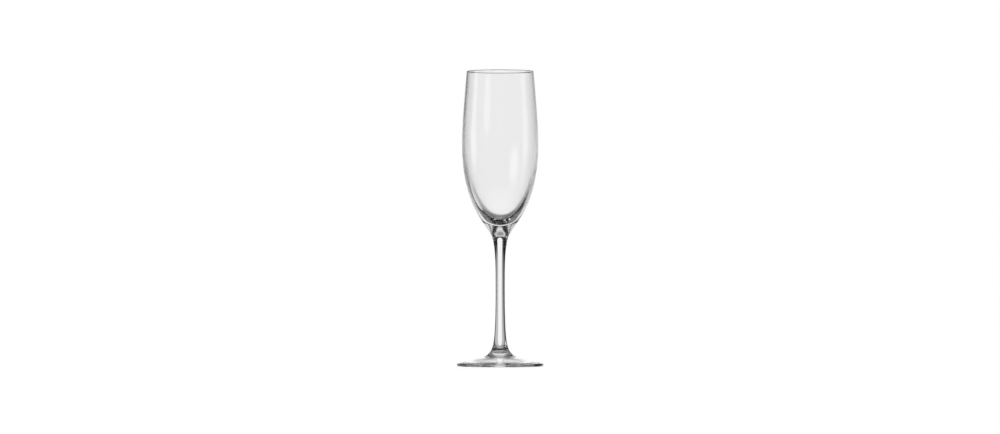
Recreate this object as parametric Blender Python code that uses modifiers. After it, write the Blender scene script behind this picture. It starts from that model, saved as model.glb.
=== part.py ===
"""A champagne flute in three turned pieces of glass: a bowl, a stem and a foot, fused end to end.

The flute stands on the XY plane with its axis on Z. Each piece is an outline turned round that axis.
An outline is a list of (radius, height) points, and its long stretches are Bezier curves whose end
handles are named below, so that the three pieces run into each other in one flowing line.
"""
import math

import bpy
from mathutils import Vector
from mathutils.geometry import interpolate_bezier

MM = 0.001

# Heights of the pieces, from the table up
FOOT_HEIGHT = 12.0 * MM
STEM_LENGTH = 85.2 * MM
BOWL_HEIGHT = 127.8 * MM

# Foot
FOOT_DIAMETER = 66.4 * MM
FOOT_EDGE_THICKNESS = 2.8 * MM
FOOT_EDGE_OVERHANG = 2.2 * MM
FOOT_RING_WIDTH = 1.2 * MM
FOOT_CONE_TOP_DIAMETER = 25.0 * MM
FOOT_CONE_SLOPE = 0.262
FOOT_SWEEP_HANDLE_SHARE = 0.45
FOOT_HOLLOW_DEPTH = 6.0 * MM
FOOT_HOLLOW_HANDLE_AT_RING = 6.0 * MM
FOOT_HOLLOW_HANDLE_AT_MIDDLE = 12.0 * MM

# Stem
FOOT_JOINT_DIAMETER = 14.4 * MM
FOOT_JOINT_FLARE = 0.74
FOOT_JOINT_HANDLE = 3.4 * MM
WAIST_DIAMETER = 6.96 * MM
WAIST_ABOVE_FOOT_JOINT = 47.5 * MM
WAIST_HANDLE_DOWN = 34.0 * MM
WAIST_HANDLE_UP = 15.0 * MM

# Joint between stem and bowl: the stem's domed end sits in a matching hollow of the bowl
BOWL_JOINT_DIAMETER = 11.64 * MM
BOWL_JOINT_FLARE = 0.26
BOWL_JOINT_HANDLE_DOWN = 9.0 * MM
BOWL_JOINT_HANDLE_UP = 10.7 * MM
BOWL_JOINT_DOME = 1.2 * MM

# Bowl, outside
BELLY_DIAMETER = 58.5 * MM
BELLY_ABOVE_BOWL_JOINT = 73.9 * MM
BELLY_HANDLE_DOWN = 52.4 * MM
RIM_DIAMETER = 51.5 * MM
RIM_TAPER = 0.074
RIM_HANDLE = 30.0 * MM

# Bowl, inside
WALL_AT_RIM = 1.15 * MM
LIP_CREST_FROM_OUTSIDE = 0.63 * MM
WALL_AT_BELLY = 1.35 * MM
HEEL_THICKNESS = 12.6 * MM
CAVITY_BELLY_HANDLE_DOWN = 34.0 * MM
CAVITY_BOTTOM_HANDLE = 13.5 * MM
LIP_ROUNDING_OUTSIDE = 1.3 * MM
LIP_ROUNDING_INSIDE = 0.8 * MM

# Clearance left between two fused faces, measured along the axis
FUSED_GAP = 0.3 * MM

# Facets round the axis, and spans along each stretch of an outline
FACETS = 48
LONG_SPANS = 20
MIDDLE_SPANS = 14
SHORT_SPANS = 8
ROUNDING_SPANS = 4

# Handle length that makes a Bezier curve a quarter circle, as a share of its radius
QUARTER_CIRCLE = 0.5523


def bezier(start, start_handle, end_handle, end, spans):
    """Points of a Bezier curve given by its ends and the offsets of its handles from them."""
    ends = [Vector((radius, 0.0, height)) for radius, height in (start, end)]
    handles = [
        base + Vector((offset[0], 0.0, offset[1]))
        for base, offset in zip(ends, (start_handle, end_handle))
    ]
    curve = interpolate_bezier(ends[0], handles[0], handles[1], ends[1], spans + 1)
    return [(point.x, point.z) for point in curve]


def dome(edge_radius, edge_height, rise, spans):
    """A spherical cap's outline, from the axis out to its edge."""
    sphere = (edge_radius ** 2 + rise ** 2) / (2.0 * rise)
    centre = edge_height + rise - sphere
    edge_angle = math.asin(edge_radius / sphere)
    angles = [edge_angle * index / spans for index in range(spans + 1)]
    return [(sphere * math.sin(angle), centre + sphere * math.cos(angle)) for angle in angles]


def matching_handle(handle, own_offset, other_offset):
    """The handle that gives the far side of a vertical tangent the curvature of the near side."""
    return handle * math.sqrt(other_offset / own_offset)


def joined(*stretches):
    """One outline from stretches whose ends meet, with each meeting point kept once."""
    outline = list(stretches[0])
    for stretch in stretches[1:]:
        outline.extend(stretch[1:])
    return outline


# Levels and radii that follow from the sizes above
FOOT_JOINT_Z = FOOT_HEIGHT
BOWL_JOINT_Z = FOOT_JOINT_Z + STEM_LENGTH
RIM_Z = BOWL_JOINT_Z + BOWL_HEIGHT
BELLY_Z = BOWL_JOINT_Z + BELLY_ABOVE_BOWL_JOINT
WAIST_Z = FOOT_JOINT_Z + WAIST_ABOVE_FOOT_JOINT
CAVITY_BOTTOM_Z = BOWL_JOINT_Z + HEEL_THICKNESS
FOOT_RADIUS = FOOT_DIAMETER / 2.0
FOOT_JOINT_RADIUS = FOOT_JOINT_DIAMETER / 2.0
WAIST_RADIUS = WAIST_DIAMETER / 2.0
BOWL_JOINT_RADIUS = BOWL_JOINT_DIAMETER / 2.0
BELLY_RADIUS = BELLY_DIAMETER / 2.0
RIM_RADIUS = RIM_DIAMETER / 2.0


def bowl_outline():
    """From the bottom of the cavity up its wall, over the lip, down the outside to the stem joint."""
    cavity_belly = (BELLY_RADIUS - WALL_AT_BELLY, BELLY_Z)
    cavity_rim_radius = RIM_RADIUS - WALL_AT_RIM
    cavity_rim_reach = cavity_rim_radius + RIM_TAPER * RIM_HANDLE
    outside_rim_reach = RIM_RADIUS + RIM_TAPER * RIM_HANDLE
    joint_reach = BOWL_JOINT_RADIUS + BOWL_JOINT_FLARE * BOWL_JOINT_HANDLE_UP
    belly_handle_up = matching_handle(
        BELLY_HANDLE_DOWN, BELLY_RADIUS - joint_reach, BELLY_RADIUS - outside_rim_reach)
    lip_out = (RIM_RADIUS + RIM_TAPER * LIP_ROUNDING_OUTSIDE, RIM_Z - LIP_ROUNDING_OUTSIDE)
    lip_in = (cavity_rim_radius + RIM_TAPER * LIP_ROUNDING_INSIDE, RIM_Z - LIP_ROUNDING_INSIDE)
    crest = (RIM_RADIUS - LIP_CREST_FROM_OUTSIDE, RIM_Z)
    handle_in = Vector((-RIM_TAPER, 1.0)) * LIP_ROUNDING_INSIDE * QUARTER_CIRCLE
    handle_out = Vector((-RIM_TAPER, 1.0)) * LIP_ROUNDING_OUTSIDE * QUARTER_CIRCLE
    crest_handle_in = (WALL_AT_RIM - LIP_CREST_FROM_OUTSIDE) * QUARTER_CIRCLE
    crest_handle_out = LIP_CREST_FROM_OUTSIDE * QUARTER_CIRCLE
    joint_level = BOWL_JOINT_Z + FUSED_GAP / 2.0
    return joined(
        bezier((0.0, CAVITY_BOTTOM_Z), (CAVITY_BOTTOM_HANDLE, 0.0),
               (0.0, -CAVITY_BELLY_HANDLE_DOWN), cavity_belly, LONG_SPANS),
        bezier(cavity_belly, (0.0, belly_handle_up),
               (cavity_rim_reach - lip_in[0], -RIM_HANDLE + LIP_ROUNDING_INSIDE), lip_in,
               SHORT_SPANS),
        bezier(lip_in, handle_in, (-crest_handle_in, 0.0), crest, ROUNDING_SPANS),
        bezier(crest, (crest_handle_out, 0.0), handle_out, lip_out, ROUNDING_SPANS),
        bezier(lip_out, (outside_rim_reach - lip_out[0], -RIM_HANDLE + LIP_ROUNDING_OUTSIDE),
               (0.0, belly_handle_up), (BELLY_RADIUS, BELLY_Z), SHORT_SPANS),
        bezier((BELLY_RADIUS, BELLY_Z), (0.0, -BELLY_HANDLE_DOWN),
               (BOWL_JOINT_FLARE * BOWL_JOINT_HANDLE_UP, BOWL_JOINT_HANDLE_UP),
               (BOWL_JOINT_RADIUS, joint_level), LONG_SPANS),
        dome(BOWL_JOINT_RADIUS, joint_level, BOWL_JOINT_DOME, ROUNDING_SPANS)[::-1],
    )


def stem_outline():
    """From the domed top down the side to the flat bottom."""
    top = (BOWL_JOINT_RADIUS, BOWL_JOINT_Z - FUSED_GAP / 2.0)
    waist = (WAIST_RADIUS, WAIST_Z)
    bottom = (FOOT_JOINT_RADIUS, FOOT_JOINT_Z + FUSED_GAP / 2.0)
    return joined(
        dome(top[0], top[1], BOWL_JOINT_DOME, ROUNDING_SPANS),
        bezier(top, (-BOWL_JOINT_FLARE * BOWL_JOINT_HANDLE_DOWN, -BOWL_JOINT_HANDLE_DOWN),
               (0.0, WAIST_HANDLE_UP), waist, MIDDLE_SPANS),
        bezier(waist, (0.0, -WAIST_HANDLE_DOWN),
               (-FOOT_JOINT_FLARE * FOOT_JOINT_HANDLE, FOOT_JOINT_HANDLE), bottom, MIDDLE_SPANS),
        [bottom, (0.0, bottom[1])],
    )


def foot_outline():
    """From the flat joint out over the cone, round the edge, under the ring and up the hollow."""
    joint = (FOOT_JOINT_RADIUS, FOOT_JOINT_Z - FUSED_GAP / 2.0)
    edge_top = (FOOT_RADIUS - FOOT_EDGE_OVERHANG, FOOT_EDGE_THICKNESS)
    cone_top_radius = FOOT_CONE_TOP_DIAMETER / 2.0
    cone_top = (cone_top_radius, edge_top[1] + FOOT_CONE_SLOPE * (edge_top[0] - cone_top_radius))
    sweep_handle = FOOT_SWEEP_HANDLE_SHARE * (cone_top_radius - joint[0])
    drop_handle = FOOT_SWEEP_HANDLE_SHARE * (joint[1] - cone_top[1])
    ring_outer = (FOOT_RADIUS - FOOT_EDGE_OVERHANG, 0.0)
    ring_inner = (ring_outer[0] - FOOT_RING_WIDTH, 0.0)
    tip = (FOOT_RADIUS, FOOT_EDGE_THICKNESS / 2.0)
    round_handle = FOOT_EDGE_OVERHANG * QUARTER_CIRCLE
    tip_handle = FOOT_EDGE_THICKNESS / 2.0 * QUARTER_CIRCLE
    return joined(
        [(0.0, joint[1]), joint],
        bezier(joint, (FOOT_JOINT_FLARE * drop_handle, -drop_handle),
               (-sweep_handle, FOOT_CONE_SLOPE * sweep_handle), cone_top, SHORT_SPANS),
        [cone_top, edge_top],
        bezier(edge_top, (round_handle, -FOOT_CONE_SLOPE * round_handle), (0.0, tip_handle), tip,
               ROUNDING_SPANS),
        bezier(tip, (0.0, -tip_handle), (round_handle, 0.0), ring_outer, ROUNDING_SPANS),
        [ring_outer, ring_inner],
        bezier(ring_inner, (-FOOT_HOLLOW_HANDLE_AT_RING, 0.0), (FOOT_HOLLOW_HANDLE_AT_MIDDLE, 0.0),
               (0.0, FOOT_HOLLOW_DEPTH), MIDDLE_SPANS),
    )


def glass(name, colour, roughness):
    """Clear glass in a given tint."""
    material = bpy.data.materials.new(name)
    material.use_nodes = True
    shader = material.node_tree.nodes["Principled BSDF"]
    shader.inputs["Base Color"].default_value = (*colour, 1.0)
    shader.inputs["Roughness"].default_value = roughness
    shader.inputs["Metallic"].default_value = 0.0
    shader.inputs["IOR"].default_value = 1.52
    shader.inputs["Transmission Weight"].default_value = 1.0
    return material


def turned(name, outline, material, collection):
    """A solid of revolution: the outline's points joined in order and turned round Z."""
    points = [(radius, 0.0, height) for radius, height in outline]
    mesh = bpy.data.meshes.new(name)
    mesh.from_pydata(points, [(index, index + 1) for index in range(len(points) - 1)], [])
    mesh.materials.append(material)
    piece = bpy.data.objects.new(name, mesh)
    collection.objects.link(piece)
    screw = piece.modifiers.new("Turn", "SCREW")
    screw.axis = "Z"
    screw.angle = 2.0 * math.pi
    screw.steps = FACETS
    screw.render_steps = FACETS
    screw.use_merge_vertices = True
    screw.merge_threshold = 0.00001
    screw.use_smooth_shade = True
    return piece


for item in list(bpy.data.objects):
    bpy.data.objects.remove(item)

flute = bpy.data.collections.new("champagne_flute")
bpy.context.scene.collection.children.link(flute)

turned("bowl", bowl_outline(), glass("bowl_glass", (0.96, 0.97, 0.97), 0.02), flute)
turned("stem", stem_outline(), glass("stem_glass", (0.95, 0.96, 0.96), 0.03), flute)
turned("foot", foot_outline(), glass("foot_glass", (0.95, 0.96, 0.96), 0.03), flute)
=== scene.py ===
# %% [markdown]
# # A champagne flute in clear glass
# A flute is three pieces of glass fused end to end: a blown bowl, a drawn stem and a spun foot.
# This lesson turns each piece with Geometry Nodes, gives each one its own kind of glass, and lights
# them the way glass is lit in a studio. The sizes all come from the loaded model, so the looks
# always sit on the parts that they belong to.
#
# First the model is loaded.

# %% Load the model
import math

import bmesh
import bpy
import numpy as np
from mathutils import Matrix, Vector


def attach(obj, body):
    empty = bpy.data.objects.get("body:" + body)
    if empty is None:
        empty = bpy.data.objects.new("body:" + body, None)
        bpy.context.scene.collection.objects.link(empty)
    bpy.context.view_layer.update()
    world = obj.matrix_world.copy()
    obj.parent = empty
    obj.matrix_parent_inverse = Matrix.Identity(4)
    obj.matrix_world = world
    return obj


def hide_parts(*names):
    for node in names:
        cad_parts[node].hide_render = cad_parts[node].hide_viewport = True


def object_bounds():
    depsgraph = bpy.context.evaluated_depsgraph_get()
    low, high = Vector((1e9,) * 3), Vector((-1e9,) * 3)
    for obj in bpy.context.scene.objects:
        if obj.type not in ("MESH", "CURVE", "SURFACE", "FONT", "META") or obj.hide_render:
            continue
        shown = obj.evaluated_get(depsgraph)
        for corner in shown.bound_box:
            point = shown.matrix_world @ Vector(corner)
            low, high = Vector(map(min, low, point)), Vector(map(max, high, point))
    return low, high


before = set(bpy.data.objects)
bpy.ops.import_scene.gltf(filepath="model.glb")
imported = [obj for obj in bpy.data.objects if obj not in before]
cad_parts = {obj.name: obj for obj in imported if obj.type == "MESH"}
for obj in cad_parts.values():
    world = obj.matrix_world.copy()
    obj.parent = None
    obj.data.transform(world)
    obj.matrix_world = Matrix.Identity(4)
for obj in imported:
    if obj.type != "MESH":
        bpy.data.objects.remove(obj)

MM = 0.001
cad_low, cad_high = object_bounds()
scene = bpy.context.scene
print("The flute is", round((cad_high.z - cad_low.z) / MM, 1), "mm tall")

# %% [markdown]
# ## The camera
# A tall slim glass looks best from far away, through a long lens. Up close, the rim would show as a
# wide ellipse from below and the foot from above. From three metres both close up to thin lines, and
# the walls keep their true profile. The lens follows from two plain facts: how far away the camera
# stands, and how wide a view it takes in at the flute.

# %% Camera
CAMERA_DISTANCE = 3.0
CAMERA_HEIGHT = 0.068
CAMERA_AIM_HEIGHT = 0.1138
CAMERA_SIDESTEP = -0.15 * MM
VIEW_WIDTH_AT_FLUTE = 0.7618

camera = bpy.data.objects.new("camera", bpy.data.cameras.new("camera"))
scene.collection.objects.link(camera)
scene.camera = camera
camera.location = (CAMERA_SIDESTEP, -CAMERA_DISTANCE, CAMERA_HEIGHT)
aim = Vector((CAMERA_SIDESTEP, 0.0, CAMERA_AIM_HEIGHT))
camera.rotation_euler = (aim - camera.location).to_track_quat("-Z", "Y").to_euler()
camera.data.lens = camera.data.sensor_width * CAMERA_DISTANCE / VIEW_WIDTH_AT_FLUTE
camera.data.clip_end = 100.0
print("Lens:", round(camera.data.lens, 1), "mm")

# %% [markdown]
# ## One helper for all node trees
# Materials, the sky and Geometry Nodes are all node trees. One small function adds a node to any of
# them: it takes the settings of the node, and what goes into each input, which is either a value or
# an output of another node. Everything below is built with it, so each tree reads like a recipe.

# %% Node helper
def add(tree, kind, inputs=(), **settings):
    """Adds a node; `inputs` maps an input's name or number to a value or to a node's output."""
    node = tree.nodes.new(kind)
    for name, value in settings.items():
        setattr(node, name, value)
    for key, value in dict(inputs).items():
        if isinstance(value, bpy.types.NodeSocket):
            tree.links.new(value, node.inputs[key])
        else:
            node.inputs[key].default_value = value
    return node


def math_of(tree, operation, *values):
    """The output of a Math node."""
    return add(tree, "ShaderNodeMath", enumerate(values), operation=operation).outputs[0]


def linear(hex_colour):
    """An sRGB hex colour as the linear RGBA that shaders want."""
    shares = [int(hex_colour[start:start + 2], 16) / 255.0 for start in (1, 3, 5)]
    return [s / 12.92 if s <= 0.04045 else ((s + 0.055) / 1.055) ** 2.4 for s in shares] + [1.0]


print("Middle grey sends back", round(linear("#808080")[0], 3), "of the light")

# %% [markdown]
# ## Reading an outline off the model
# The model's pieces are faceted solids of revolution. Each one hides a single line that says all of
# its shape: the outline in the half plane y = 0, x >= 0. A copy of the mesh is merged, because the
# model's triangles are loose, and the points of that half plane are walked along their edges, from
# the upper point on the axis to the lower one. Reading the line is better than writing it out
# again: if the model changes, the glass follows.

# %% Outline reader
ON_PLANE = 0.001 * MM


def outline_of(node):
    """The (radius, height) points of a turned node's outline, from its upper end down."""
    solid = bmesh.new()
    solid.from_mesh(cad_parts[node].data)
    bmesh.ops.remove_doubles(solid, verts=solid.verts, dist=ON_PLANE)
    here = {v for v in solid.verts if abs(v.co.y) < ON_PLANE and v.co.x > -ON_PLANE}
    next_to = {v: [e.other_vert(v) for e in v.link_edges if e.other_vert(v) in here] for v in here}
    ends = sorted((v for v in here if len(next_to[v]) == 1), key=lambda v: v.co.z)
    path = [ends[-1]]
    while path[-1] != ends[0]:
        path.append(next(v for v in next_to[path[-1]] if v not in path[-2:]))
    points = [(max(v.co.x, 0.0), v.co.z) for v in path]
    solid.free()
    if points[0][0] > ON_PLANE:
        points.insert(0, (0.0, points[0][1]))
    if points[-1][0] > ON_PLANE:
        points.append((0.0, points[-1][1]))
    return np.array(points)


outlines = {node: outline_of(node) for node in ("bowl", "stem", "foot")}
for node, points in outlines.items():
    print(node, "has", len(points), "outline points")

# %% [markdown]
# ## One flowing line
# On the real flute the bowl runs into the stem and the stem into the foot without a step, so the
# outer sides are strung together into one line before they are smoothed. A fused joint shows in an
# outline as its sharpest outer corner. Where two pieces meet, the model leaves a gap of a few tenths
# of a millimetre: the line passes through the middle of it, and the glass closes it.

# %% String the pieces together
SHARP_TURN = math.radians(50.0)


def joint_corner(points, last):
    """The index of the sharp corner where a piece's side meets its joint face."""
    steps = np.diff(points, axis=0)
    steps /= np.linalg.norm(steps, axis=1)[:, None]
    turns = np.einsum("ij,ij->i", steps[:-1], steps[1:])
    sharp = [index + 1 for index, turn in enumerate(turns) if turn < math.cos(SHARP_TURN)]
    return sharp[-1] if last else sharp[0]


bowl, stem, foot = (outlines[node] for node in ("bowl", "stem", "foot"))
bowl_end = joint_corner(bowl, last=True)
stem_start, stem_end = joint_corner(stem, last=False), joint_corner(stem, last=True)
foot_start = joint_corner(foot, last=False)
upper_joint = (bowl[bowl_end] + stem[stem_start]) / 2.0
lower_joint = (stem[stem_end] + foot[foot_start]) / 2.0
body = np.vstack([
    bowl[:bowl_end], upper_joint, stem[stem_start + 1:stem_end], lower_joint, foot[foot_start + 1:],
])
upper_index = bowl_end
lower_index = upper_index + stem_end - stem_start
print("Joints at", [round(float(point[1]) / MM, 2) for point in (upper_joint, lower_joint)], "mm")

# %% [markdown]
# ## Smoothing the line
# Glass shows every flat: a coarse outline would break a highlight into bars. So a cubic spline with
# continuous curvature is drawn through the outline's points, and many more points are read off it.
# A spline must not be drawn from a long gentle run into a tight rounding, where it would bulge. The
# line is cut at such places, and the side with the shorter steps takes over the direction of the
# other one, so no kink shows. A flute has no corner in this line: even its lip is melted round.

# %% Spline through a stretch
def spline_bends(points, chords, start, end):
    """Second derivatives of the curve at its points, for given or free end directions."""
    count = len(points)
    matrix = np.zeros((count, count))
    target = np.zeros((count, 2))
    slopes = np.diff(points, axis=0) / chords[:, None]
    for i in range(1, count - 1):
        matrix[i, i - 1:i + 2] = chords[i - 1], 2.0 * (chords[i - 1] + chords[i]), chords[i]
        target[i] = 6.0 * (slopes[i] - slopes[i - 1])
    matrix[0, :2] = (1.0, -1.0) if start is None else (2.0 * chords[0], chords[0])
    matrix[-1, -2:] = (-1.0, 1.0) if end is None else (chords[-1], 2.0 * chords[-1])
    if start is not None:
        target[0] = 6.0 * (slopes[0] - start)
    if end is not None:
        target[-1] = 6.0 * (end - slopes[-1])
    return np.linalg.solve(matrix, target)


def end_directions(points, chords, bends):
    """The curve's unit directions at its two ends."""
    first = (points[1] - points[0]) / chords[0] - chords[0] * (2.0 * bends[0] + bends[1]) / 6.0
    last = (points[-1] - points[-2]) / chords[-1] + chords[-1] * (bends[-2] + 2.0 * bends[-1]) / 6.0
    return first / np.linalg.norm(first), last / np.linalg.norm(last)


turns = np.linspace(0.0, math.pi / 2.0, 7)
arc = np.column_stack([np.cos(turns), np.sin(turns)])
arc_chords = np.linalg.norm(np.diff(arc, axis=0), axis=1)
arc_bends = spline_bends(arc, arc_chords, start=np.array((0.0, 1.0)), end=np.array((-1.0, 0.0)))
arc_bend = float(np.linalg.norm(arc_bends[3]))
print("Through 7 points of a circle, where 1 would be exact, the curve bends by", round(arc_bend, 3))

# %% [markdown]
# The outline's own steps say where to cut: where long steps change to short ones, a long gentle run
# meets a tight rounding.

# %% Where to cut
UNEVEN_STEPS = 4.0


def cuts_of(chords):
    """The indices at which an outline is cut: its ends, and where its steps change in length."""
    cuts = [0]
    for i in range(1, len(chords)):
        shorter, longer = sorted((chords[i - 1], chords[i]))
        if longer > UNEVEN_STEPS * shorter:
            cuts.append(i)
    return cuts + [len(chords)]


body_cuts = cuts_of(np.linalg.norm(np.diff(body, axis=0), axis=1))
print("Cuts at heights", [round(float(body[i, 1]) / MM, 2) for i in body_cuts[1:-1]], "mm")

# %% [markdown]
# The stretches with the longest steps are drawn first, and the finer points are read off each one:
# no step is longer than a millimetre, and none turns by more than two and a half degrees. Under the
# foot the curve would swell a hundredth of a millimetre below the flat ring on which the flute
# stands, so no point may lie lower than the model does.

# %% Smooth a whole outline
LONGEST_STEP = 1.0 * MM
LARGEST_TURN = math.radians(2.5)


def spans_of(part, steps, bends, first):
    """The fine points of each span of a stretch, without the span's first point."""
    spans = {}
    for i, step in enumerate(steps):
        bend = np.linalg.norm(bends[i] + bends[i + 1]) / 2.0
        count = max(math.ceil(step / LONGEST_STEP), math.ceil(bend * step / LARGEST_TURN))
        share = (np.arange(count) + 1.0)[:, None] / count
        rest = 1.0 - share
        curve = (rest ** 3 - rest) * bends[i] + (share ** 3 - share) * bends[i + 1]
        spans[first + i] = rest * part[i] + share * part[i + 1] + curve * step ** 2 / 6.0
    return spans


def smoothed(points):
    """A fine smooth outline, and the row in it of each point that was given."""
    chords = np.linalg.norm(np.diff(points, axis=0), axis=1)
    cuts = cuts_of(chords)
    stretches = list(zip(cuts[:-1], cuts[1:]))
    directions = {
        end: np.array((sign, 0.0)) for end, sign in ((0, 1.0), (len(points) - 1, -1.0))
        if points[end][0] < ON_PLANE
    }
    fine = {}
    for first, last in sorted(stretches, key=lambda ends: -np.mean(chords[ends[0]:ends[1]])):
        part, steps = points[first:last + 1], chords[first:last]
        start, end = directions.get(first), directions.get(last)
        if len(part) == 2:
            bends = np.zeros((2, 2))
        else:
            bends = spline_bends(part, steps, start, end)
        for index, direction in zip((first, last), end_directions(part, steps, bends)):
            directions.setdefault(index, direction)
        fine.update(spans_of(part, steps, bends, first))
    rows, knots = [points[0]], [0]
    for i in range(len(chords)):
        rows.extend(fine[i])
        knots.append(len(rows) - 1)
    return np.array(rows), knots


fine_body, knots = smoothed(body)
fine_body[:, 1] = np.maximum(fine_body[:, 1], cad_low.z)
print("The whole line has", len(fine_body), "points")

# %% [markdown]
# ## Closing each piece with its joint face
# Each piece takes its own stretch of the line and is closed by the face on which it is fused. The
# stem's domed top and the bowl's matching hollow become the same surface, and so do the flat faces
# at the foot. `face_rows` remembers how many rows of faces belong to a joint, at the start and at
# the end of an outline, because those rows get a material of their own.

# %% Outlines of the finished pieces
def joint_face(points, edge, meeting):
    """A joint face's fine points, moved so that its edge lies where the two pieces meet."""
    return smoothed(points[:edge + 1] + (meeting - points[edge]))[0]


crown = joint_face(stem, stem_start, upper_joint)
seat = joint_face(foot, foot_start, lower_joint)
for face in (crown, seat):
    face[0, 0] = 0.0
upper_row, lower_row = knots[upper_index], knots[lower_index]
profiles = {
    "bowl": np.vstack([fine_body[:upper_row + 1], crown[-2::-1]]),
    "stem": np.vstack([crown[:-1], fine_body[upper_row:lower_row + 1], seat[-2::-1]]),
    "foot": np.vstack([seat[:-1], fine_body[lower_row:]]),
}
face_rows = {
    "bowl": (0, len(crown) - 1),
    "stem": (len(crown) - 1, len(seat) - 1),
    "foot": (len(seat) - 1, 0),
}
for node, profile in profiles.items():
    print(node, len(profile), "rows, widest radius", round(float(profile[:, 0].max()) / MM, 2), "mm")

# %% [markdown]
# ## The lathe
# A turned shape is a rule, not a sculpture: every ring of the surface is one outline point carried
# round the axis. That could be a Screw modifier or Spin, but a Geometry Nodes tree can also number
# its rows, and so can paint the joint faces in the same pass. The tree makes a flat grid with one
# row for each outline point and one column for each step of the turn, then rolls it up: the row
# number looks up a radius and a height, and the column number gives an angle. Merging by distance
# closes the seam and the poles. The joint's edge is marked sharp, so the shading doesn't
# smear round it.

# %% The lathe's inputs and its roll
def lathe_sockets(tree):
    """Named inputs for the lathe's sizes and materials."""
    for name, kind in (
        ("Outline", "NodeSocketGeometry"), ("Facets", "NodeSocketInt"),
        ("Joint Rows First", "NodeSocketInt"), ("Joint Rows Last", "NodeSocketInt"),
        ("Weld Distance", "NodeSocketFloat"), ("Sharp Angle", "NodeSocketFloat"),
        ("Glass", "NodeSocketMaterial"), ("Fused Face", "NodeSocketMaterial"),
    ):
        tree.interface.new_socket(name, in_out="INPUT", socket_type=kind)
    tree.interface.new_socket("Piece", in_out="OUTPUT", socket_type="NodeSocketGeometry")


def rolled_up(tree, given, grid, row, column):
    """Moves the grid's points onto the turned surface."""
    point = add(tree, "GeometryNodeSampleIndex", {
        "Geometry": given["Outline"], "Value": add(tree, "GeometryNodeInputPosition").outputs[0],
        "Index": row,
    }, data_type="FLOAT_VECTOR", domain="POINT")
    place = add(tree, "ShaderNodeSeparateXYZ", {0: point.outputs["Value"]})
    turn = math_of(tree, "MULTIPLY", column, 2.0 * math.pi)
    angle = math_of(tree, "DIVIDE", turn, given["Facets"])
    around = [
        math_of(tree, "MULTIPLY", place.outputs["X"], math_of(tree, function, angle))
        for function in ("COSINE", "SINE")
    ]
    place = add(tree, "ShaderNodeCombineXYZ", {0: around[0], 1: around[1], 2: place.outputs["Z"]})
    return add(tree, "GeometryNodeSetPosition", {"Geometry": grid, "Position": place.outputs[0]})


FACETS = 224
widest = max(float(profile[:, 0].max()) for profile in profiles.values())
print("Steps round the widest ring:", round(2.0 * math.pi * widest / FACETS / MM, 2), "mm")

# %% [markdown]
# The tree itself makes the grid, keeps each point's row number while it still has one, rolls the
# grid up, welds it and gives it its two materials.

# %% Lathe node tree
def on_joint_rows(tree, given, rows, row):
    """1 on the rows of faces that belong to a joint, at either end of the outline, and 0 elsewhere."""
    from_end = math_of(tree, "SUBTRACT", math_of(tree, "SUBTRACT", rows, 1.0), given["Joint Rows Last"])
    in_first = math_of(tree, "LESS_THAN", row, given["Joint Rows First"])
    in_last = math_of(tree, "GREATER_THAN", row, from_end)
    return math_of(tree, "MAXIMUM", in_first, in_last)


def lathe_tree():
    """The Geometry Nodes tree that turns an outline into a closed piece of glass."""
    tree = bpy.data.node_groups.new("glass_lathe", "GeometryNodeTree")
    lathe_sockets(tree)
    given = add(tree, "NodeGroupInput").outputs
    size = add(tree, "GeometryNodeAttributeDomainSize", {0: given["Outline"]}, component="MESH")
    rows = size.outputs["Point Count"]
    columns = math_of(tree, "ADD", given["Facets"], 1.0)
    grid = add(tree, "GeometryNodeMeshGrid", {"Vertices X": rows, "Vertices Y": columns})
    index = add(tree, "GeometryNodeInputIndex").outputs[0]
    row = math_of(tree, "FLOOR", math_of(tree, "DIVIDE", index, columns))
    column = math_of(tree, "MODULO", index, columns)
    kept = add(tree, "GeometryNodeCaptureAttribute", {"Geometry": grid.outputs["Mesh"]})
    kept.capture_items.new("FLOAT", "Row")
    tree.links.new(row, kept.inputs["Row"])
    turned = rolled_up(tree, given, kept.outputs["Geometry"], row, column)
    welded = add(tree, "GeometryNodeMergeByDistance", {
        "Geometry": turned.outputs[0], "Distance": given["Weld Distance"],
    })
    bend = add(tree, "GeometryNodeInputMeshEdgeAngle").outputs["Unsigned Angle"]
    is_sharp = math_of(tree, "GREATER_THAN", bend, given["Sharp Angle"])
    smooth = add(tree, "GeometryNodeSetShadeSmooth", {
        "Geometry": welded.outputs[0], "Selection": is_sharp, "Shade Smooth": False,
    }, domain="EDGE")
    on_joint = on_joint_rows(tree, given, rows, kept.outputs["Row"])
    real = add(tree, "GeometryNodeRealizeInstances", {0: smooth.outputs[0]})
    glass = add(tree, "GeometryNodeSetMaterial", {
        "Geometry": real.outputs[0], "Material": given["Glass"],
    })
    both = add(tree, "GeometryNodeSetMaterial", {
        "Geometry": glass.outputs[0], "Selection": on_joint, "Material": given["Fused Face"],
    })
    add(tree, "NodeGroupOutput", {"Piece": both.outputs[0]})
    return tree


lathe = lathe_tree()
print("The lathe has", len(lathe.nodes), "nodes")

# %% [markdown]
# ## Glass
# Stemware is soda-lime or lead-free crystalline glass: colourless, with an index of refraction near
# 1.52, and so smooth after fire-polishing that it has no roughness to speak of. A plain glass shader
# looks computed, because real glass is never quite even. Blown walls carry long shallow waves a
# centimetre or two across, a drawn stem carries faint lines along its length, and a spun foot
# carries faint rings. They are 2 to 20 microns deep, and are bumps and not geometry: they can't be
# seen in the outline, but they make reflections swim a little. Here and there a wiping cloth has left
# the faintest haze, which softens a highlight and is too weak to be seen by itself.

# %% Waves in a glass surface
GLASS_INDEX = 1.52
GLASS_TINT = "#fefefe"
HAZE_SPACING = 9.0 * MM
HAZE_FROM, HAZE_TO = 0.45, 0.75
HAZE_ROUGHNESS = 0.012


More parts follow.
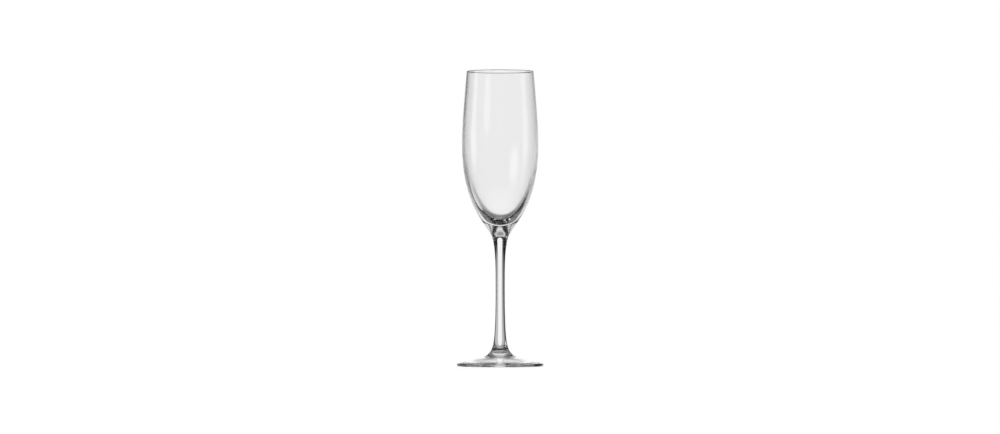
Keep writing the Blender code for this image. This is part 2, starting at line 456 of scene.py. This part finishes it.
def waves(tree, coordinates, wavelength, detail=1.0, roughness=0.4):
    """Soft noise whose bumps are about `wavelength` metres apart."""
    return add(tree, "ShaderNodeTexNoise", {
        "Vector": coordinates, "Scale": 1.0 / wavelength, "Detail": detail, "Roughness": roughness,
    }).outputs[0]


def stretched(tree, coordinates, scale):
    """Coordinates scaled along each axis, so that a pattern draws out along one of them."""
    return add(tree, "ShaderNodeMapping", {"Vector": coordinates, "Scale": scale}).outputs[0]


def clear_glass(name, height_of, bump_depth):
    """Fire-polished glass whose surface rises and falls by `bump_depth` metres over a pattern."""
    material = bpy.data.materials.new(name)
    material.use_nodes = True
    tree = material.node_tree
    coordinates = add(tree, "ShaderNodeTexCoord").outputs["Object"]
    bump = add(tree, "ShaderNodeBump", {
        "Height": height_of(tree, coordinates), "Distance": bump_depth, "Strength": 1.0,
    })
    haze = add(tree, "ShaderNodeMapRange", {
        "Value": waves(tree, coordinates, HAZE_SPACING, detail=3.0), "From Min": HAZE_FROM,
        "From Max": HAZE_TO, "To Min": 0.0, "To Max": HAZE_ROUGHNESS,
    })
    shader = tree.nodes["Principled BSDF"]
    shader.inputs["Base Color"].default_value = linear(GLASS_TINT)
    shader.inputs["IOR"].default_value = GLASS_INDEX
    shader.inputs["Transmission Weight"].default_value = 1.0
    tree.links.new(haze.outputs[0], shader.inputs["Roughness"])
    tree.links.new(bump.outputs[0], shader.inputs["Normal"])
    return material


mirrored = ((GLASS_INDEX - 1.0) / (GLASS_INDEX + 1.0)) ** 2
print("Seen straight on, one surface mirrors", round(100.0 * mirrored, 1), "% of the light")

# %% [markdown]
# The three patterns differ only in how noise is stretched before it is read. Noise drawn out along Z
# gives the stem its draw lines, and noise read by distance from the axis gives the foot its rings.
# The surface where two pieces are fused is no surface at all: light crosses it as if it weren't
# there. An index of 1 bends nothing, but isn't enough by itself: a ray still ends and starts again
# on two faces in one place, some light is lost there, and the foot of the stem turns dark. An
# alpha of 0 lets the ray run on, and so the three pieces look like one body from inside.

# %% The flute's materials
def blown_waves(tree, coordinates):
    """Long shallow waves of a blown wall, a little drawn out along the bowl."""
    return waves(tree, stretched(tree, coordinates, (1.0, 1.0, 0.5)), 14.0 * MM)


def draw_lines(tree, coordinates):
    """Fine lines along a drawn stem, 1.5 mm apart round it and 60 mm long."""
    return waves(tree, stretched(tree, coordinates, (1.0, 1.0, 0.025)), 1.5 * MM)


def spun_rings(tree, coordinates):
    """Rings about 4 mm apart round the axis of a spun foot."""
    flat = add(tree, "ShaderNodeVectorMath", {0: coordinates, 1: (1.0, 1.0, 0.0)},
               operation="MULTIPLY").outputs[0]
    radius = add(tree, "ShaderNodeVectorMath", {0: flat}, operation="LENGTH").outputs["Value"]
    reach = add(tree, "ShaderNodeCombineXYZ", {0: radius}).outputs[0]
    return waves(tree, reach, 4.0 * MM)


def fused_glass(name):
    """The inside of a fused joint: light passes straight through."""
    material = bpy.data.materials.new(name)
    material.use_nodes = True
    shader = material.node_tree.nodes["Principled BSDF"]
    for socket, value in (
        ("Base Color", linear("#ffffff")), ("Roughness", 0.0), ("IOR", 1.0),
        ("Transmission Weight", 1.0), ("Alpha", 0.0),
    ):
        shader.inputs[socket].default_value = value
    return material


glass_of = {
    "bowl": clear_glass("blown crystalline glass", blown_waves, 0.02 * MM),
    "stem": clear_glass("drawn crystalline glass", draw_lines, 0.002 * MM),
    "foot": clear_glass("spun crystalline glass", spun_rings, 0.006 * MM),
}
fused_face = fused_glass("fused joint inside the glass")
print("Materials:", [material.name for material in glass_of.values()], fused_face.name)

# %% [markdown]
# ## Turning the three pieces
# Each outline becomes a bare line of edges with the lathe as its modifier. The modifier's inputs are
# set through their identifiers, because two inputs may share a name. The evaluated result is then
# turned into a plain mesh and the modifier is dropped, so the finished piece is an ordinary object
# at the origin.

# %% Turn them
WELD_DISTANCE = 0.0005 * MM
SHARP_ANGLE = math.radians(35.0)


def set_inputs(modifier, values):
    """Sets a Geometry Nodes modifier's inputs by name."""
    for item in modifier.node_group.interface.items_tree:
        if item.item_type == "SOCKET" and item.name in values:
            modifier[item.identifier] = values[item.name]


def turned_piece(node):
    """A finished piece of glass for one of the model's nodes."""
    name = f"{node}_turned"
    profile = profiles[node]
    line = bpy.data.meshes.new(name)
    points = [(radius, 0.0, height) for radius, height in profile.tolist()]
    line.from_pydata(points, [(i, i + 1) for i in range(len(points) - 1)], [])
    piece = bpy.data.objects.new(name, line)
    scene.collection.objects.link(piece)
    modifier = piece.modifiers.new("Lathe", "NODES")
    modifier.node_group = lathe
    set_inputs(modifier, {
        "Facets": FACETS, "Joint Rows First": face_rows[node][0], "Joint Rows Last": face_rows[node][1],
        "Weld Distance": WELD_DISTANCE, "Sharp Angle": SHARP_ANGLE,
        "Glass": glass_of[node], "Fused Face": fused_face,
    })
    evaluated = piece.evaluated_get(bpy.context.evaluated_depsgraph_get())
    mesh = bpy.data.meshes.new_from_object(evaluated)
    mesh.materials.pop(index=0)  # the first slot comes out empty
    piece.modifiers.clear()
    piece.data = mesh
    bpy.data.meshes.remove(line)
    mesh.name = name
    return piece


pieces = {node: turned_piece(node) for node in profiles}
for node, piece in pieces.items():
    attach(piece, "root")
    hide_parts(node)
    print(piece.name, len(piece.data.polygons), "faces", [m.name for m in piece.data.materials])

# %% [markdown]
# ## Are they closed, and the right way out?
# A glass shader needs to know which side of a face is glass. Each mesh is measured: no open edges,
# and a volume that is positive, which it is only if the faces point outwards. Multiplied by the
# density of crystalline glass, about 2.5 g per cubic centimetre, it also gives the flute's weight.

# %% Measure the glass
GLASS_DENSITY = 2500.0
total = 0.0
for piece in pieces.values():
    solid = bmesh.new()
    solid.from_mesh(piece.data)
    open_edges = sum(1 for edge in solid.edges if len(edge.link_faces) != 2)
    volume = solid.calc_volume(signed=True)
    total += volume
    solid.free()
    print(piece.name, "open edges:", open_edges, "volume:", round(volume * 1e6, 2), "cm3")
print("The flute weighs about", round(total * GLASS_DENSITY * 1000.0), "g")

# %% [markdown]
# ## Floor
# The floor is a plain white sweep. It glows a little by itself, as a lit table does, so that it
# stays white without a hard shadow, and its matt part still takes the soft shadow of the glass.
# Clear glass on a white table has an old problem: seen through the glass, the table fills in every
# dark edge that draws the shape. In a studio the glass is lifted off the lit part of the table for
# that reason. Here the floor is kept out of the light that passes through the glass or is
# reflected by it, and the surroundings below take its place.

# %% Floor
FLOOR_RADIUS = 14.0
FLOOR_DROP = 0.05 * MM
FLOOR_GLOW = 0.67
floor_mesh = bpy.data.meshes.new("floor")
ring = bmesh.new()
bmesh.ops.create_circle(ring, cap_ends=True, segments=96, radius=FLOOR_RADIUS)
bmesh.ops.translate(ring, verts=ring.verts, vec=(0.0, 0.0, cad_low.z - FLOOR_DROP))
ring.to_mesh(floor_mesh)
ring.free()
floor = bpy.data.objects.new("floor", floor_mesh)
scene.collection.objects.link(floor)
floor_material = bpy.data.materials.new("white table")
floor_material.use_nodes = True
floor_shader = floor_material.node_tree.nodes["Principled BSDF"]
floor_shader.inputs["Base Color"].default_value = linear("#f0f0f0")
floor_shader.inputs["Roughness"].default_value = 0.9
floor_shader.inputs["Specular IOR Level"].default_value = 0.0
floor_shader.inputs["Emission Color"].default_value = linear("#ffffff")
floor_shader.inputs["Emission Strength"].default_value = FLOOR_GLOW
floor_mesh.materials.append(floor_material)
floor.visible_glossy = False
floor.visible_transmission = False
print("Floor radius:", FLOOR_RADIUS, "m")

# %% [markdown]
# ## Light
# Glass has no colour and no shade of its own: it only shows its surroundings, bent. The classic way
# to light it is a bright field. A white panel, only a little larger than the view, stands behind the
# glass, and everything beside the panel is dark. Seen through the middle of the glass there is the
# panel, and near the edges light is bent so far that it comes from the dark, and draws a dark line.
# One panel stands behind the flute as the camera sees it, and others stand where other views look
# through it. A wide dim one, low behind the first, turns the widest dark edges grey. A ring of
# light overhead fills the heavy glass at the bottom of the bowl and lights the floor.
#
# The panels are painted on the sky by direction, as ovals with a soft edge. That gives soft clean
# light without noise. An azimuth runs from +Y towards +X.

# %% Where the light comes from
# Each panel: centre azimuth, centre elevation, half width, half height, all in degrees, then how soft
# its edge is as a share of its size, and its brightness. The two overhead are so wide that they
# go all the way round.
ALL_ROUND = 400.0
PANELS = {
    "behind": (2.0, 2.5, 17.0, 23.5, 0.2, 1.0),
    "behind, wide and low": (8.0, -7.5, 44.0, 15.0, 0.4, 0.55),
    "behind, near the table": (0.0, -33.0, 30.0, 13.0, 0.25, 0.2),
    "behind, from front right": (-45.0, -26.0, 11.0, 12.5, 0.3, 1.0),
    "behind, from back left": (135.0, -15.5, 14.0, 14.0, 0.3, 1.0),
    "behind, from the side": (-90.0, -0.5, 12.0, 13.0, 0.3, 1.0),
    "overhead ring": (0.0, 52.0, ALL_ROUND, 15.0, 0.12, 0.7),
    "overhead": (0.0, 90.0, ALL_ROUND, 26.0, 0.1, 0.3),
}
DARKNESS = 0.015
print(len(PANELS), "panels, and a darkness of", DARKNESS, "between them")

# %% [markdown]
# Each panel is a few Math nodes. The angles from its centre, across and up, are divided by its half
# sizes, so that its edge lies at a distance of 1, and a Map Range with a smooth step makes that
# edge soft. Where panels overlap, the brighter one counts.

# %% Sky
def away_from(tree, angle, centre):
    """An angle's distance from a centre, in radians, going round the shorter way."""
    offset = math_of(tree, "SUBTRACT", angle, math.radians(centre))
    return math_of(tree, "WRAP", offset, math.pi, -math.pi)


def panel(tree, azimuth, elevation, centre, level, half_width, half_height, softness, brightness):
    """An oval patch of light with a soft edge."""
    across = math_of(tree, "DIVIDE", away_from(tree, azimuth, centre), math.radians(half_width))
    up = math_of(tree, "SUBTRACT", elevation, math.radians(level))
    up = math_of(tree, "DIVIDE", up, math.radians(half_height))
    squares = [math_of(tree, "MULTIPLY", share, share) for share in (across, up)]
    reach = math_of(tree, "SQRT", math_of(tree, "ADD", *squares))
    return add(tree, "ShaderNodeMapRange", {
        "Value": reach, "From Min": 1.0 - softness, "From Max": 1.0 + softness,
        "To Min": brightness, "To Max": 0.0,
    }, interpolation_type="SMOOTHSTEP").outputs[0]


sky = bpy.data.worlds.new("glass studio")
scene.world = sky
sky.use_nodes = True
tree = sky.node_tree
towards = add(tree, "ShaderNodeTexCoord").outputs["Generated"]
direction = add(tree, "ShaderNodeSeparateXYZ", {0: towards})
azimuth = math_of(tree, "ARCTAN2", direction.outputs["X"], direction.outputs["Y"])
elevation = math_of(tree, "ARCSINE", direction.outputs["Z"])
light = DARKNESS
for shape in PANELS.values():
    light = math_of(tree, "MAXIMUM", light, panel(tree, azimuth, elevation, *shape))
background = next(node for node in tree.nodes if node.type == "BACKGROUND")
tree.links.new(light, background.inputs["Color"])
print("The sky has", len(tree.nodes), "nodes")

# %% [markdown]
# ## Render choices
# Light crosses many surfaces in a solid glass foot, and passes the fused faces on its way, so paths
# are allowed many bounces of each kind before they are cut off. The plain Standard view keeps
# white at white, which suits an object on a white ground.

# %% Render choices
BOUNCES = 32
scene.view_settings.view_transform = "Standard"
scene.cycles.max_bounces = BOUNCES
scene.cycles.transmission_bounces = BOUNCES
scene.cycles.glossy_bounces = BOUNCES
scene.cycles.transparent_max_bounces = BOUNCES
scene.cycles.use_denoising = True
print("Bounces:", scene.cycles.max_bounces)

# %% [markdown]
# ## Last measures
# The finished flute must be exactly as large as the model that it stands for. Here the model's
# bounds are printed, in millimetres.

# %% Sizes and finish
print("Model:", [round(v / MM, 2) for v in (*cad_low, *cad_high)])
